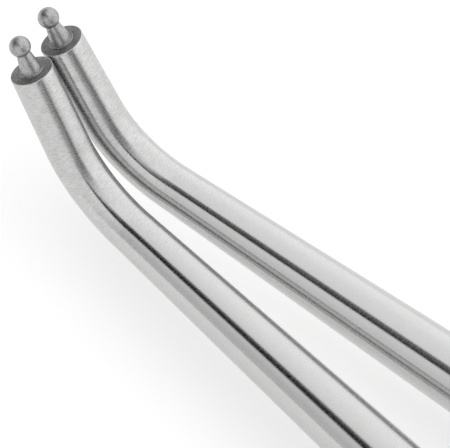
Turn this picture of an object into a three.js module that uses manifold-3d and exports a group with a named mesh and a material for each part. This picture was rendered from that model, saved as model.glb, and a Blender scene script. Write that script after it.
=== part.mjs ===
// Spring bar pliers: fine lap-joint pliers with two round bent noses, each carrying a ball-ended pin.
// Millimetres. X across the tool, +Y towards the tips, +Z up. The origin is on the pivot axis, in the
// flat underside that the tool rests on. Side -1 is left and +1 is right, seen from above with the
// tips pointing away. The upper lever has the left nose and the right handle; the lower lever has the
// right nose and the left handle. The model is in its closed position.
import * as THREE from 'three';
import { mergeVertices } from 'three/addons/utils/BufferGeometryUtils.js';
import Module from 'manifold-3d';

const wasm = await Module();
wasm.setup();

const degrees = THREE.MathUtils.degToRad;

// Used throughout
const ROUND = 2;                     // exponent of an elliptical section
const SQUARENESS = 4;                // exponent of the rounded-rectangle sections
const OVERCUT = 1;                   // how far a cutting solid runs past the face it opens
const CONTACT_GAP = 0.02;            // between parts that bear on each other
const MERGE_DISTANCE = 1e-5;

// Noses and shanks: round tapered bars, turned and then bent
const NOSE_RADIUS = 1.25;            // at the flat end face
const NOSE_SPACING = 2.56;           // between the centres of the end faces, closed
const NOSE_LENGTH = 5.4;             // straight stretch from the face to the bend
const NOSE_ANGLE = degrees(52.25);   // rise of the noses out of the plane of the tool
const NOSE_SPLAY = degrees(1.8);     // each nose leans away from the middle
const SHANK_SPLAY = degrees(4.8);    // each shank runs away from the middle
const BEND_RADIUS = 6.7;
const NOSE_TAPER = 0.0063;           // growth of the radius per mm, nose and bend
const SHANK_TAPER = 0.03;            // growth of the radius per mm, shank
const TIP_REACH = 46;                // from the pivot axis to the end faces, along Y
const BAR_SEGMENTS = 28;
const TURNED_SEGMENTS = 24;           // round a turned part, unless it says otherwise
const BEND_STEPS = 10;
const ROOT_STEPS = 5;

// Lap joint
const BODY_HEIGHT = 8;
const MID_HEIGHT = BODY_HEIGHT / 2;
const LAP_GAP = 0.4;                 // between the two halves, taken up by the shim
const DISC_RADIUS = 8;
const DISC_CLEARANCE = 0.15;
const DISC_SEGMENTS = 40;
const SHOULDER_RADIUS = 9.6;
const SHOULDER_OVERLAP = 2;          // how far a shoulder reaches in under the disc's rim
const SHOULDER_SEGMENTS = 7;
const SHOULDER_START = degrees(5);   // from the Y axis to the near side of a shoulder
const OPENING = degrees(28);
const SHOULDER_CLEARANCE = degrees(0.6);
const SHOULDER_END = (Math.PI - OPENING - SHOULDER_CLEARANCE) / 2;
const EDGE = 0.35;                   // bevel on the joint's edges
const ROOT_START = 15;               // Y where the shank starts to swell into the joint
const ROOT_END = 4.5;
const ROOT_HALF_WIDTH = 2.9;

// Pivot bolt, its nut, disc spring and shim
const BOLT_RADIUS = 2;
const BOLT_HEAD_RADIUS = 3.6;
const BOLT_HEAD_HEIGHT = 1.3;
const THREAD_RADIUS = 1.5;
const THREAD_TOP = 7.7;
const THREAD_CHAMFER = 0.2;
const RUNNING_CLEARANCE = 0.05;
const SEAT_CLEARANCE = 0.1;
const RECESS_RADIUS = 4.1;
const RECESS_FLOOR = 6.1;
const NUT_RADIUS = 3.9;
const NUT_BOTTOM = 6.66;
const NUT_TOP = 7.9;
const NUT_RIM = 0.2;
const NUT_SLOT = 1;
const NUT_SLOT_HEIGHT = 1.2;
const DISC_SPRING_THICKNESS = 0.3;
const DISC_SPRING_RISE = 0.2;
const SHIM_RADIUS = 6.5;
const SHIM_THICKNESS = 0.3;

// Ball-ended pins and the set screws that hold them
const BALL_RADIUS = 0.604;
const BALL_HEIGHT = 1.717;           // centre of the ball above the end face
const NECK_RADIUS = 0.39;
const CONE_RADIUS = 0.61;
const COLLAR_RADIUS = 0.725;
const COLLAR_HEIGHT = 0.05;
const CONE_FOOT = 0.03;              // the cone flares by this much where it meets the collar
const CONE_BOTTOM = 0.14;
const NECK_LENGTH = 0.03;
const BALL_STEPS = 8;
const PIN_RADIUS = 0.48;
const PIN_DEPTH = 3;
const PIN_CLEARANCE = 0.02;
const PIN_BORE_SPARE = 0.2;          // the bore runs on past the end of the pin
const PIN_SEGMENTS = 20;
const SET_SCREW_RADIUS = 0.6;
const SET_SCREW_PLACE = 1.9;         // behind the end face, along the nose
const SET_SCREW_BOTTOM = 0.51;       // just clear of the pin
const SET_SCREW_TOP = 1.16;
const SET_SCREW_SLOT = 0.2;
const SET_SCREW_SLOT_LENGTH = 3;
const SET_SCREW_SLOT_HEIGHT = 0.5;
const SET_SCREW_HOLE_REACH = 2;
const SET_SCREW_SEGMENTS = 16;

// Handles: a flat tang in each, inside a two-part grip
const HANDLE_PLAN = [[3.9, -5], [4.6, -10], [5.7, -17], [8.6, -27], [13.2, -41], [16.2, -57],
  [16.3, -73], [14, -91]];
const TANG_HALF_WIDTHS = [2.6, 2.4, 2.1, 2.1, 2.1, 2.1, 2.0, 1.8];
const TANG_HALF_HEIGHTS = [3.98, 3.8, 3.4, 2.7, 2.7, 2.7, 2.7, 2.5];
const TANG_STEPS = 18;
const TANG_SEGMENTS = 16;
const TANG_END = 0.965;              // the tang stops short of the grip's end
const GRIP_START = 0.235;            // places along the handle, 0 at the joint and 1 at the end
const GRIP_STEPS = 18;
const GRIP_SEGMENTS = 20;
const GRIP_HALF_HEIGHT = MID_HEIGHT;
const GRIP_HALF_WIDTH = 4.3;
const GRIP_SWELL = 0.7;
const GRIP_SWELL_PACE = 1.15;        // the swell dies out a little before the end
const GRIP_FLANGE = 1.1;             // finger guard at the front of the grip
const GRIP_FLANGE_LENGTH = 0.045;    // this and the next two are shares of the grip's length
const GRIP_END_LENGTH = 0.05;
const GRIP_FRONT_LENGTH = 0.02;
const GRIP_END_ROUNDING = 0.6;
const GRIP_FRONT_ROUNDING = 0.12;
const GRIP_FIT = 0.12;
const PAD_DEPTH = 1.3;
const PAD_PROUD = 0.25;
const PAD_HALF_HEIGHT = 2.5;
const PAD_FRONT = -37;
const PAD_BACK = -83;
const PAD_FIT = 0.06;
const PAD_INNER_X = 15;
const PAD_REACH = 12;
const PAD_SEGMENTS = 6;

// Stop screw across the handles
const STOP_Y = -17;
const STOP_RADIUS = 1.25;
const STOP_OUTER_END = -9.3;
const STOP_INNER_END = 2.55;
const STOP_SEAT_RADIUS = 2.9;
const STOP_SEAT_X = 3.9;             // flat seats for the lock nut and the button
const STOP_OUTER_SEAT_X = 7.2;
const STOP_OUTER_SEAT_REACH = 4;
const STOP_BORE_REACH = 20;
const STOP_CHAMFER = 0.2;
const STOP_DOME = [[1, 1], [0.8, 0.4], [0.4, 0.07]];   // shares of the radius and the dome height
const STOP_DOME_HEIGHT = 0.5;
const STOP_SLOT = [1.6, 0.45, 4];
const LOCK_NUT_RADIUS = 2.6;
const LOCK_NUT_HEIGHT = 1.6;
const BUTTON_RADIUS = 1.6;
const BUTTON_SHANK_RADIUS = 1;
const BUTTON_DEPTH = 2.2;
const BUTTON_FACE = 2.6;

const STEEL = new THREE.MeshStandardMaterial({ color: 0xc9c9c6, roughness: 0.32, metalness: 1 });
const DARK_STEEL = new THREE.MeshStandardMaterial({ color: 0x9a9a98, roughness: 0.45, metalness: 1 });
const SPRING_STEEL = new THREE.MeshStandardMaterial({ color: 0x8d8f92, roughness: 0.3, metalness: 1 });
const BRONZE = new THREE.MeshStandardMaterial({ color: 0xb08a4c, roughness: 0.4, metalness: 1 });
const SHELL = new THREE.MeshStandardMaterial({ color: 0x2b2d30, roughness: 0.55, metalness: 0 });
const PAD = new THREE.MeshStandardMaterial({ color: 0x17181a, roughness: 0.85, metalness: 0 });

const vector = (x, y, z) => new THREE.Vector3(x, y, z);
const X = vector(1, 0, 0);
const Z = vector(0, 0, 1);

// ---- solids -------------------------------------------------------------------------------------

// A closed three.js geometry, its faces turned outwards if they are not, as a solid to join and cut.
function solid(geometry) {
  const bare = geometry.clone();
  bare.deleteAttribute('normal');
  bare.deleteAttribute('uv');
  const merged = mergeVertices(bare, MERGE_DISTANCE);
  const triangles = new Uint32Array(merged.index.array);
  const points = new Float32Array(merged.attributes.position.array);
  if (signedVolume(points, triangles) < 0) {
    for (let i = 0; i < triangles.length; i += 3) {
      [triangles[i], triangles[i + 1]] = [triangles[i + 1], triangles[i]];
    }
  }
  const mesh = new wasm.Mesh({ numProp: 3, vertProperties: points, triVerts: triangles });
  return new wasm.Manifold(mesh);
}

function signedVolume(points, triangles) {
  const corner = (i) => new THREE.Vector3().fromArray(points, 3 * triangles[i]);
  let volume = 0;
  for (let i = 0; i < triangles.length; i += 3) {
    volume += corner(i).dot(corner(i + 1).cross(corner(i + 2))) / 6;
  }
  return volume;
}

function geometryOf(manifold) {
  const { vertProperties, triVerts } = manifold.getMesh();
  const geometry = new THREE.BufferGeometry();
  geometry.setAttribute('position', new THREE.BufferAttribute(vertProperties, 3));
  geometry.setIndex(new THREE.BufferAttribute(triVerts, 1));
  geometry.computeVertexNormals();
  return geometry;
}

// A closed skin over rings of points that all have the same number of points.
function loft(rings) {
  const count = rings[0].length;
  const middle = (ring) => ring.reduce((sum, p) => sum.add(p), vector(0, 0, 0)).divideScalar(count);
  const points = [...rings.flat(), middle(rings[0]), middle(rings.at(-1))];
  const startCap = points.length - 2;
  const endCap = points.length - 1;
  const lastRing = (rings.length - 1) * count;
  const triangles = [];
  for (let j = 0; j < count; j++) {
    const k = (j + 1) % count;
    triangles.push(startCap, k, j, endCap, lastRing + j, lastRing + k);
    for (let base = 0; base < lastRing; base += count) {
      triangles.push(base + j, base + k, base + count + k);
      triangles.push(base + j, base + count + k, base + count + j);
    }
  }
  const geometry = new THREE.BufferGeometry().setFromPoints(points);
  geometry.setIndex(triangles);
  return geometry;
}

// A ring in the plane of two unit vectors: an ellipse at squareness 2, nearer a rectangle above it.
function ring(centre, across, up, halfWidth, halfHeight, squareness, segments) {
  const bulge = (value) => Math.sign(value) * Math.abs(value) ** (2 / squareness);
  return Array.from({ length: segments }, (_, i) => {
    const angle = (2 * Math.PI * (i + 0.5)) / segments;
    return centre.clone()
      .addScaledVector(across, halfWidth * bulge(Math.cos(angle)))
      .addScaledVector(up, halfHeight * bulge(Math.sin(angle)));
  });
}

// A turned solid: [radius, distance] pairs along an axis from a point.
function turned(profile, from, axis, segments = TURNED_SEGMENTS) {
  const geometry = new THREE.LatheGeometry(profile.map(([r, d]) => new THREE.Vector2(r, d)), segments);
  const turn = new THREE.Quaternion().setFromUnitVectors(vector(0, 1, 0), axis);
  return solid(geometry.applyQuaternion(turn).translate(from.x, from.y, from.z));
}

function rod(from, axis, radius, start, end, segments = TURNED_SEGMENTS) {
  return turned([[0, start], [radius, start], [radius, end], [0, end]], from, axis, segments);
}

function box(width, depth, height, centre) {
  return solid(new THREE.BoxGeometry(width, depth, height).translate(centre.x, centre.y, centre.z));
}

// ---- noses and shanks ---------------------------------------------------------------------------

// Centre line of one bar, from the end face backwards, as stations along its length.
function barLine(side) {
  const nose = vector(side * Math.sin(NOSE_SPLAY), -Math.cos(NOSE_SPLAY) * Math.cos(NOSE_ANGLE),
    -Math.cos(NOSE_SPLAY) * Math.sin(NOSE_ANGLE));
  const shank = vector(side * Math.sin(SHANK_SPLAY), -Math.cos(SHANK_SPLAY), 0);
  const turn = nose.angleTo(shank);
  const stations = [{ point: vector(0, 0, 0), along: nose, length: 0 }];
  const advance = (along, step) => {
    const last = stations.at(-1);
    const point = last.point.clone().addScaledVector(along, step);
    stations.push({ point, along: along.clone(), length: last.length + step });
  };
  advance(nose, NOSE_LENGTH);
  const bendAxis = nose.clone().cross(shank).normalize();
  for (let i = 0; i < BEND_STEPS; i++) {
    advance(nose.clone().applyAxisAngle(bendAxis, (turn * (i + 0.5)) / BEND_STEPS),
      (BEND_RADIUS * turn) / BEND_STEPS);
  }
  const bendEnd = stations.at(-1).length;
  const face = vector(side * NOSE_SPACING / 2, TIP_REACH, MID_HEIGHT - stations.at(-1).point.z);
  stations.forEach((station) => station.point.add(face));
  const shankLength = (stations.at(-1).point.y - ROOT_START) / Math.cos(SHANK_SPLAY);
  advance(shank, shankLength / 2);
  advance(shank, shankLength / 2);
  return { stations, face, outward: nose.clone().negate(), shank, bendEnd };
}

function barRadius(length, bendEnd) {
  const inNose = Math.min(length, bendEnd);
  return NOSE_RADIUS + NOSE_TAPER * inNose + SHANK_TAPER * (length - inNose);
}

function crossAxes(along) {
  const across = X.clone().addScaledVector(along, -X.dot(along)).normalize();
  return { across, up: across.clone().cross(along).normalize() };
}

// One nose and shank, swelling at its root to the full height of the joint.
function bar(line) {
  const rings = line.stations.map(({ point, along, length }) => {
    const { across, up } = crossAxes(along);
    const radius = barRadius(length, line.bendEnd);
    return ring(point, across, up, radius, radius, ROUND, BAR_SEGMENTS);
  });
  const last = line.stations.at(-1);
  const shankRadius = barRadius(last.length, line.bendEnd);
  const { across, up } = crossAxes(line.shank);
  for (let i = 1; i <= ROOT_STEPS; i++) {
    const t = i / ROOT_STEPS;
    const ease = THREE.MathUtils.smoothstep(t, 0, 1);
    const point = last.point.clone().addScaledVector(line.shank, t * (ROOT_START - ROOT_END));
    rings.push(ring(point, across, up, THREE.MathUtils.lerp(shankRadius, ROOT_HALF_WIDTH, ease),
      THREE.MathUtils.lerp(shankRadius, MID_HEIGHT - CONTACT_GAP, ease),
      ROUND + (SQUARENESS - ROUND) * ease, BAR_SEGMENTS));
  }
  return solid(loft(rings));
}

// ---- handles ------------------------------------------------------------------------------------

const planCurve = new THREE.CatmullRomCurve3(HANDLE_PLAN.map(([x, y]) => vector(x, y, MID_HEIGHT)));

// A place along the handle, with the directions across it and up.
function handlePlace(side, t) {
  const point = planCurve.getPointAt(t);
  const along = planCurve.getTangentAt(t);
  point.x *= side;
  along.x *= side;
  const across = vector(-along.y, along.x, 0).normalize();
  return { point, across };
}

function alongList(list, t) {
  const place = t * (list.length - 1);
  const i = Math.min(Math.floor(place), list.length - 2);
  return THREE.MathUtils.lerp(list[i], list[i + 1], place - i);
}

function tang(side, allowance = 0) {
  const rings = Array.from({ length: TANG_STEPS + 1 }, (_, i) => {
    const t = (TANG_END * i) / TANG_STEPS;
    const { point, across } = handlePlace(side, t);
    return ring(point, across, Z, alongList(TANG_HALF_WIDTHS, t) + allowance,
      alongList(TANG_HALF_HEIGHTS, t) + allowance, SQUARENESS, TANG_SEGMENTS);
  });
  if (allowance > 0) {
    const tip = rings.at(-1);
    const { across } = handlePlace(side, TANG_END);
    const back = vector(across.y, -across.x, 0).multiplyScalar(allowance);
    tip.forEach((point) => point.add(back));
  }
  return solid(loft(rings));
}

function gripHalfWidth(t) {
  const swell = GRIP_SWELL * Math.sin(Math.PI * Math.min(1, GRIP_SWELL_PACE * t)) ** 2;
  const flange = GRIP_FLANGE * Math.exp(-((t / GRIP_FLANGE_LENGTH) ** 2));
  return GRIP_HALF_WIDTH + swell + flange;
}

// The outside of a grip, moved in or out by an allowance.
function gripForm(side, allowance = 0) {
  const rings = Array.from({ length: GRIP_STEPS + 1 }, (_, i) => {
    const t = (1 - Math.cos((Math.PI * i) / GRIP_STEPS)) / 2;
    const { point, across } = handlePlace(side, THREE.MathUtils.lerp(GRIP_START, 1, t));
    const end = Math.max(0, (t - 1 + GRIP_END_LENGTH) / GRIP_END_LENGTH);
    const front = Math.max(0, (GRIP_FRONT_LENGTH - t) / GRIP_FRONT_LENGTH);
    const round = Math.sqrt(1 - GRIP_END_ROUNDING * end ** 2) - GRIP_FRONT_ROUNDING * front;
    return ring(point, across, Z, gripHalfWidth(t) * round + allowance,
      GRIP_HALF_HEIGHT * round + allowance, SQUARENESS, GRIP_SEGMENTS);
  });
  return solid(loft(rings));
}

// The band on the outside of a handle that the soft pad fills.
function padBand(side, allowance) {
  const halfHeight = PAD_HALF_HEIGHT + allowance;
  const shape = new THREE.Shape();
  shape.absarc(PAD_FRONT - PAD_HALF_HEIGHT, 0, halfHeight, -Math.PI / 2, Math.PI / 2);
  shape.absarc(PAD_BACK + PAD_HALF_HEIGHT, 0, halfHeight, Math.PI / 2, (3 * Math.PI) / 2);
  shape.closePath();
  const band = new THREE.ExtrudeGeometry(shape,
    { depth: PAD_REACH, bevelEnabled: false, curveSegments: PAD_SEGMENTS });
  band.rotateY(Math.PI / 2).rotateX(Math.PI / 2);
  band.translate(side > 0 ? PAD_INNER_X : -PAD_INNER_X - PAD_REACH, 0, MID_HEIGHT);
  return solid(band);
}

function pad(side, allowance = 0) {
  const outer = gripForm(side, PAD_PROUD + (allowance > 0 ? OVERCUT : 0));
  return outer.intersect(padBand(side, allowance)).subtract(gripForm(side, -PAD_DEPTH - allowance));
}

function grip(side) {
  return gripForm(side).subtract(tang(side, GRIP_FIT)).subtract(pad(side, PAD_FIT));
}

// ---- joint --------------------------------------------------------------------------------------

// A round plate with bevelled rims between two heights.
function plate(radius, bottom, top) {
  return turned([[0, bottom], [radius - EDGE, bottom], [radius, bottom + EDGE], [radius, top - EDGE],
    [radius - EDGE, top], [0, top]], vector(0, 0, 0), Z, DISC_SEGMENTS);
}

// The full-height shoulder that carries a nose or a handle, on one side of the Y axis.
function shoulder(side, front) {
  const inner = DISC_RADIUS - SHOULDER_OVERLAP;
  const outer = SHOULDER_RADIUS - EDGE;
  const bevelAngle = Math.asin(EDGE / DISC_RADIUS);
  const low = Math.PI / 2 - SHOULDER_END + bevelAngle;
  const high = Math.PI / 2 - SHOULDER_START - bevelAngle;
  const shape = new THREE.Shape();
  shape.absarc(0, 0, outer, low, high, false);
  shape.absarc(0, 0, inner, high, low, true);
  shape.closePath();
  const geometry = new THREE.ExtrudeGeometry(shape, {
    depth: BODY_HEIGHT - 2 * EDGE,
    curveSegments: SHOULDER_SEGMENTS,
    bevelEnabled: true,
    bevelThickness: EDGE,
    bevelSize: EDGE,
    bevelSegments: 1,
  });
  geometry.translate(0, 0, EDGE);
  geometry.scale(side, front, 1);
  return solid(geometry);
}

// Space for the other lever's half of the lap.
function lapSpace(side) {
  const low = side < 0 ? -OVERCUT : MID_HEIGHT - LAP_GAP / 2;
  const high = side < 0 ? MID_HEIGHT + LAP_GAP / 2 : BODY_HEIGHT + OVERCUT;
  return rod(vector(0, 0, 0), Z, DISC_RADIUS + DISC_CLEARANCE, low, high, DISC_SEGMENTS);
}

function lapPlate(side) {
  return side < 0
    ? plate(DISC_RADIUS, MID_HEIGHT + LAP_GAP / 2, BODY_HEIGHT)
    : plate(DISC_RADIUS, 0, MID_HEIGHT - LAP_GAP / 2);
}

function pivotHoles(side) {
  const axle = rod(vector(0, 0, 0), Z, BOLT_RADIUS + RUNNING_CLEARANCE, -OVERCUT,
    BODY_HEIGHT + OVERCUT);
  const recess = side < 0
    ? rod(vector(0, 0, 0), Z, RECESS_RADIUS, RECESS_FLOOR, BODY_HEIGHT + OVERCUT)
    : rod(vector(0, 0, 0), Z, BOLT_HEAD_RADIUS + SEAT_CLEARANCE, -OVERCUT,
      BOLT_HEAD_HEIGHT + RUNNING_CLEARANCE);
  return axle.add(recess);
}

// Seats and bores for the stop screw in the left handle, or for its button in the right one.
function stopHoles(handle) {
  const centre = vector(0, STOP_Y, MID_HEIGHT);
  const axis = vector(handle, 0, 0);
  const seat = rod(centre, axis, STOP_SEAT_RADIUS, -OVERCUT, STOP_SEAT_X);
  if (handle > 0) {
    return seat.add(rod(centre, axis, BUTTON_SHANK_RADIUS + PIN_CLEARANCE, 0,
      STOP_SEAT_X + BUTTON_DEPTH));
  }
  const outerSeat = rod(centre, axis, STOP_SEAT_RADIUS, STOP_OUTER_SEAT_X,
    STOP_OUTER_SEAT_X + STOP_OUTER_SEAT_REACH);
  const bore = rod(centre, axis, STOP_RADIUS + RUNNING_CLEARANCE, 0, STOP_BORE_REACH);
  return seat.add(outerSeat).add(bore);
}

// Bore for the pin and cross hole for its set screw.
function tipHoles(line) {
  const { up } = crossAxes(line.outward);
  const place = line.face.clone().addScaledVector(line.outward, -SET_SCREW_PLACE);
  const bore = rod(line.face, line.outward, PIN_RADIUS + PIN_CLEARANCE, -PIN_DEPTH - PIN_BORE_SPARE,
    OVERCUT, PIN_SEGMENTS);
  const cross = rod(place, setScrewAxis(up), SET_SCREW_RADIUS + PIN_CLEARANCE, 0,
    SET_SCREW_HOLE_REACH, SET_SCREW_SEGMENTS);
  return bore.add(cross);
}

// The set screws sit on the front and under side of the noses.
function setScrewAxis(up) {
  return up.z > 0 ? up.clone().negate() : up;
}

function lever(side) {
  const line = barLine(side);
  const handle = -side;
  return bar(line)
    .add(shoulder(side, 1))
    .add(shoulder(handle, -1))
    .add(tang(handle))
    .subtract(lapSpace(side))
    .add(lapPlate(side))
    .subtract(pivotHoles(side))
    .subtract(stopHoles(handle))
    .subtract(tipHoles(line));
}

// ---- small parts --------------------------------------------------------------------------------

function tipPin(side) {
  const { face, outward } = barLine(side);
  const neckHeight = BALL_HEIGHT - Math.sqrt(BALL_RADIUS ** 2 - NECK_RADIUS ** 2);
  const startAngle = Math.asin(NECK_RADIUS / BALL_RADIUS);
  const ball = Array.from({ length: BALL_STEPS + 1 }, (_, i) => {
    const angle = Math.PI - THREE.MathUtils.lerp(startAngle, Math.PI, i / BALL_STEPS);
    const radius = i === BALL_STEPS ? 0 : BALL_RADIUS * Math.sin(angle);
    return [radius, BALL_HEIGHT + BALL_RADIUS * Math.cos(angle)];
  });
  const seat = PIN_CLEARANCE / 2;
  const profile = [[0, -PIN_DEPTH], [PIN_RADIUS, -PIN_DEPTH], [PIN_RADIUS, seat], [COLLAR_RADIUS, seat],
    [COLLAR_RADIUS, seat + COLLAR_HEIGHT], [CONE_RADIUS + CONE_FOOT, seat + COLLAR_HEIGHT],
    [CONE_RADIUS, CONE_BOTTOM], [NECK_RADIUS, neckHeight - NECK_LENGTH], ...ball];
  return turned(profile, face, outward, PIN_SEGMENTS);
}

function tipSetScrew(side) {
  const { face, outward } = barLine(side);
  const { up } = crossAxes(outward);
  const axis = setScrewAxis(up);
  const place = face.clone().addScaledVector(outward, -SET_SCREW_PLACE);
  const screw = rod(place, axis, SET_SCREW_RADIUS - PIN_CLEARANCE, SET_SCREW_BOTTOM, SET_SCREW_TOP,
    SET_SCREW_SEGMENTS);
  const slot = new THREE.BoxGeometry(SET_SCREW_SLOT_LENGTH, SET_SCREW_SLOT_HEIGHT, SET_SCREW_SLOT);
  const turn = new THREE.Quaternion().setFromUnitVectors(vector(0, 1, 0), axis);
  const centre = place.addScaledVector(axis, SET_SCREW_TOP);
  slot.applyQuaternion(turn).translate(centre.x, centre.y, centre.z);
  return screw.subtract(solid(slot));
}

function pivotBolt() {
  return turned([[0, 0], [BOLT_HEAD_RADIUS, 0], [BOLT_HEAD_RADIUS, BOLT_HEAD_HEIGHT],
    [BOLT_RADIUS, BOLT_HEAD_HEIGHT], [BOLT_RADIUS, RECESS_FLOOR - SEAT_CLEARANCE],
    [THREAD_RADIUS, RECESS_FLOOR - SEAT_CLEARANCE], [THREAD_RADIUS, THREAD_TOP - THREAD_CHAMFER],
    [THREAD_RADIUS - THREAD_CHAMFER, THREAD_TOP], [0, THREAD_TOP]], vector(0, 0, 0), Z);
}

function pivotNut() {
  const bore = THREAD_RADIUS + RUNNING_CLEARANCE;
  const nut = turned([[bore, NUT_BOTTOM], [NUT_RADIUS, NUT_BOTTOM], [NUT_RADIUS, NUT_TOP - NUT_RIM],
    [NUT_RADIUS - NUT_RIM, NUT_TOP], [bore, NUT_TOP], [bore, NUT_BOTTOM]], vector(0, 0, 0), Z);
  const slot = box(2 * NUT_RADIUS + OVERCUT, NUT_SLOT, NUT_SLOT_HEIGHT, vector(0, 0, NUT_TOP));
  return nut.subtract(slot);
}

function discSpring() {
  const inner = THREAD_RADIUS + SEAT_CLEARANCE;
  const outer = RECESS_RADIUS - 2 * SEAT_CLEARANCE;
  const bottom = RECESS_FLOOR + CONTACT_GAP;
  const raised = bottom + DISC_SPRING_RISE;
  return turned([[inner, raised], [outer, bottom], [outer, bottom + DISC_SPRING_THICKNESS],
    [inner, raised + DISC_SPRING_THICKNESS], [inner, raised]], vector(0, 0, 0), Z);
}

function jointShim() {
  const inner = BOLT_RADIUS + SEAT_CLEARANCE;
  const bottom = MID_HEIGHT - SHIM_THICKNESS / 2;
  const top = MID_HEIGHT + SHIM_THICKNESS / 2;
  return turned([[inner, bottom], [SHIM_RADIUS, bottom], [SHIM_RADIUS, top], [inner, top],
    [inner, bottom]], vector(0, 0, 0), Z);
}

function stopScrew() {
  const centre = vector(0, STOP_Y, MID_HEIGHT);
  const dome = STOP_DOME.map(([radius, height]) =>
    [radius * STOP_RADIUS, STOP_INNER_END - height * STOP_DOME_HEIGHT]);
  const screw = turned([[0, STOP_OUTER_END], [STOP_RADIUS - STOP_CHAMFER, STOP_OUTER_END],
    [STOP_RADIUS, STOP_OUTER_END + STOP_CHAMFER], ...dome, [0, STOP_INNER_END]], centre, X);
  return screw.subtract(box(...STOP_SLOT, vector(STOP_OUTER_END, STOP_Y, MID_HEIGHT)));
}

function stopLockNut() {
  const centre = vector(0, STOP_Y, MID_HEIGHT);
  const near = -STOP_SEAT_X + CONTACT_GAP;
  const hexagon = rod(centre, X, LOCK_NUT_RADIUS, near, near + LOCK_NUT_HEIGHT, 6);
  const bore = rod(centre, X, STOP_RADIUS + RUNNING_CLEARANCE, near - OVERCUT,
    near + LOCK_NUT_HEIGHT + OVERCUT);
  return hexagon.subtract(bore);
}

function stopButton() {
  const centre = vector(0, STOP_Y, MID_HEIGHT);
  const back = STOP_SEAT_X - CONTACT_GAP;
  const end = back + BUTTON_DEPTH - SEAT_CLEARANCE;
  return turned([[0, BUTTON_FACE], [BUTTON_RADIUS - STOP_CHAMFER, BUTTON_FACE],
    [BUTTON_RADIUS, BUTTON_FACE + STOP_CHAMFER], [BUTTON_RADIUS, back], [BUTTON_SHANK_RADIUS, back],
    [BUTTON_SHANK_RADIUS, end], [0, end]], centre, X);
}

// ---- assembly -----------------------------------------------------------------------------------

const group = new THREE.Group();

function place(name, manifold, material) {
  const mesh = new THREE.Mesh(geometryOf(manifold), material);
  mesh.name = name;
  group.add(mesh);
}

place('upper_lever', lever(-1), STEEL);
place('lower_lever', lever(1), STEEL);
for (const [name, side] of [['left', -1], ['right', 1]]) {
  place(`tip_pin_${name}`, tipPin(side), DARK_STEEL);
  place(`tip_set_screw_${name}`, tipSetScrew(side), DARK_STEEL);
  place(`grip_${name}`, grip(side), SHELL);
  place(`grip_pad_${name}`, pad(side), PAD);
}
place('pivot_bolt', pivotBolt(), STEEL);
place('pivot_nut', pivotNut(), STEEL);
place('disc_spring', discSpring(), SPRING_STEEL);
place('joint_shim', jointShim(), BRONZE);
place('stop_screw', stopScrew(), DARK_STEEL);
place('stop_lock_nut', stopLockNut(), DARK_STEEL);
place('stop_button', stopButton(), DARK_STEEL);

export default group;
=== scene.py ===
import math

import bmesh
import bpy
from mathutils import Matrix, Quaternion, Vector


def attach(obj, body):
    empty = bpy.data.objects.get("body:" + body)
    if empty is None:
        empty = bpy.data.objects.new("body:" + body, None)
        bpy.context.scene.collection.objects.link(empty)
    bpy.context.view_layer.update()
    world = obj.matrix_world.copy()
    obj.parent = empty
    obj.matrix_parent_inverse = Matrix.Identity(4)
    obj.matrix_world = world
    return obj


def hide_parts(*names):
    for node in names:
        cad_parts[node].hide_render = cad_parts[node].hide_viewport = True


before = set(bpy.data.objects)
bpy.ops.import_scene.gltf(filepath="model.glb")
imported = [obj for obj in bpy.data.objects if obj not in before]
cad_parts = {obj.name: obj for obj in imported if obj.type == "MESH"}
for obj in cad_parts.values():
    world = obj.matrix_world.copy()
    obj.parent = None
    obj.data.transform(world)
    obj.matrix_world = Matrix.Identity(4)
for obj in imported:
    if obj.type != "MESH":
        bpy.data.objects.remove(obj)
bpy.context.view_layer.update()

MM = 0.001
X = Vector((1, 0, 0))
Z = Vector((0, 0, 1))
ORIGIN = Vector((0, 0, 0))

# Noses and shanks, as in the CAD
NOSE_RADIUS = 1.25
NOSE_SPACING = 2.56
NOSE_LENGTH = 5.4
NOSE_ANGLE = math.radians(52.25)
NOSE_SPLAY = math.radians(1.8)
SHANK_SPLAY = math.radians(4.8)
BEND_RADIUS = 6.7
NOSE_TAPER = 0.0063
SHANK_TAPER = 0.03
TIP_REACH = 46
FACE_EDGE = 0.05
EDGE_MIDDLE = 0.3
BAR_SEGMENTS = 96

# Lap joint
BODY_HEIGHT = 8
MID_HEIGHT = BODY_HEIGHT / 2
LAP_GAP = 0.4
DISC_RADIUS = 8
DISC_CLEARANCE = 0.15
SHOULDER_RADIUS = 9.6
SHOULDER_START = math.radians(5)
SHOULDER_END = (math.pi - math.radians(28.6)) / 2
EDGE = 0.35
ROOT_START = 15
ROOT_END = 4.5
ROOT_HALF_WIDTH = 2.9
ROOT_HALF_HEIGHT = MID_HEIGHT - 0.02
ROOT_SQUARENESS = 4
SHOULDER_OVERLAP = 2
SHOULDER_BEVEL_ANGLE = math.radians(60)
DISC_SEGMENTS = 128

# Pivot fastening
BOLT_RADIUS = 2
BOLT_HEAD_RADIUS = 3.6
BOLT_HEAD_HEIGHT = 1.3
THREAD_RADIUS = 1.5
THREAD_TOP = 7.7
RECESS_RADIUS = 4.1
RECESS_FLOOR = 6.1
NUT_RADIUS = 3.9
NUT_BOTTOM = 6.66
NUT_TOP = 7.9
NUT_RIM = 0.06
NUT_BORE_CHAMFER = 0.15
NUT_BEVEL = 0.05
NUT_SLOT_WIDTH = 1
NUT_SLOT_HEIGHT = 1.2
SPRING_RISE = 0.2
SPRING_THICKNESS = 0.3
SPRING_SPARE = 0.2
SHIM_RADIUS = 6.5
SHIM_HALF_THICKNESS = 0.15

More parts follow.
